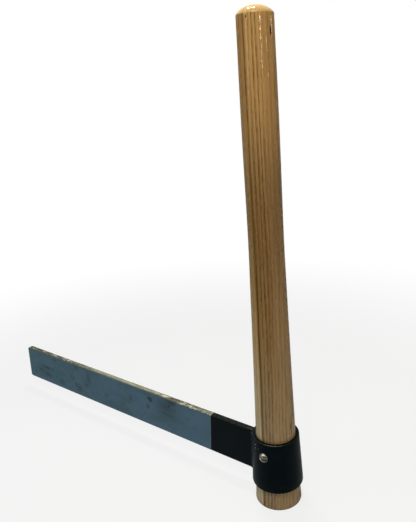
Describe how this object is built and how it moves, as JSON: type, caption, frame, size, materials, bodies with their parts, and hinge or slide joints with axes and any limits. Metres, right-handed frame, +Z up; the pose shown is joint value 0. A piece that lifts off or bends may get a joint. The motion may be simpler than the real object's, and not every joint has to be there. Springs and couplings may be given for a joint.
{
  "type": "froe",
  "caption": "Froe: flat-bar splitting blade welded to a tapered steel socket, on a turned ash handle held by a round-head screw.",
  "frame": {"origin": "centre of the handle's flat lower end", "axes": "+Z up along the handle's axis, -X along the blade from socket to tip, -Y out of the blade's plain front face and the screw's head"},
  "size_m": [0.5282, 0.0621, 0.5655],
  "materials": {
    "handle_wood": "varnished straight-grained ash",
    "black_paint": "satin black paint on steel tube",
    "blade_steel": "blue-grey mill scale, bare struck back, black-painted root",
    "painted_weld": "rippled fillet weld under black paint",
    "screw_steel": "bright plated steel"
  },
  "bodies": {
    "froe": {"handle": "handle_wood", "socket": "black_paint", "blade": "blade_steel", "weld_front": "painted_weld", "weld_rear": "painted_weld"},
    "screw": {"retaining_screw": "screw_steel"}
  },
  "joints": [
    {"name": "screw_withdraw", "type": "slide", "parent": "froe", "child": "screw", "axis": [0, -0.9991, 0.0429], "range_m": [0, 0.032]}
  ]
}
